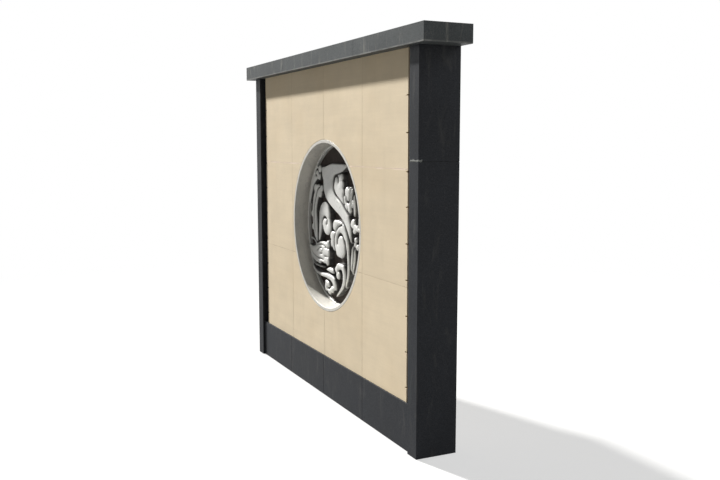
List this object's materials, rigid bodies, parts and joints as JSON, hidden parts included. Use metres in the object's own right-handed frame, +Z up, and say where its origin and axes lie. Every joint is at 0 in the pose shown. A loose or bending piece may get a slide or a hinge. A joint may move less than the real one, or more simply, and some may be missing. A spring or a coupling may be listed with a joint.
{
  "type": "moon gate feature wall",
  "caption": "Free-standing garden feature wall with granite columns and lintel, sandstone slabs and a round moon niche holding carved cloud scrolls.",
  "frame": {"origin": "middle of the footprint at ground level", "axes": "+X along the wall to the right when facing it, +Y from the carved front to the plain back, +Z up"},
  "size_m": [2.87, 0.29, 2.3],
  "materials": {
    "dark_granite": "honed dark granite with fine speckle",
    "lintel_granite": "flamed grey granite, weathered pale streaks",
    "masonry": "cement render, trowelled",
    "sandstone": "honed warm sandstone",
    "clip_steel": "dull steel, lightly rusted",
    "pale_stone": "honed pale grey stone",
    "backing_stone": "dark matt stone",
    "carved_stone": "polished pale grey carved stone"
  },
  "bodies": {
    "root": {"base_course": "dark_granite", "left_column": "dark_granite", "right_column": "dark_granite", "lintel_left": "lintel_granite", "lintel_middle": "lintel_granite", "lintel_right": "lintel_granite", "back_wall": "masonry", "core_lower_left": "masonry", "core_lower_right": "masonry", "core_upper_left": "masonry", "core_upper_right": "masonry", "slab_bottom_1": "sandstone", "slab_bottom_2": "sandstone", "slab_bottom_3": "sandstone", "slab_bottom_4": "sandstone", "slab_middle_1": "sandstone", "slab_middle_2": "sandstone", "slab_middle_3": "sandstone", "slab_middle_4": "sandstone", "slab_top_1": "sandstone", "slab_top_2": "sandstone", "slab_top_3": "sandstone", "slab_top_4": "sandstone", "left_clips": "clip_steel", "right_clips": "clip_steel", "lining_lower_left": "pale_stone", "lining_lower_right": "pale_stone", "lining_upper_left": "pale_stone", "lining_upper_right": "pale_stone", "backing_disc": "backing_stone", "carving_rim": "carved_stone", "scroll_trunk": "carved_stone", "scroll_top_head": "carved_stone", "scroll_upper_curl": "carved_stone", "scroll_left_curl": "carved_stone", "scroll_left_cloud": "carved_stone", "scroll_center_spiral": "carved_stone", "scroll_shell": "carved_stone", "scroll_leaf": "carved_stone", "scroll_bottom_curl": "carved_stone", "scroll_lower_curl": "carved_stone", "scroll_right_slivers": "carved_stone", "scroll_right_curl": "carved_stone", "scroll_lower_right_curl": "carved_stone", "scroll_top_left_curl": "carved_stone"}
  },
  "joints": []
}
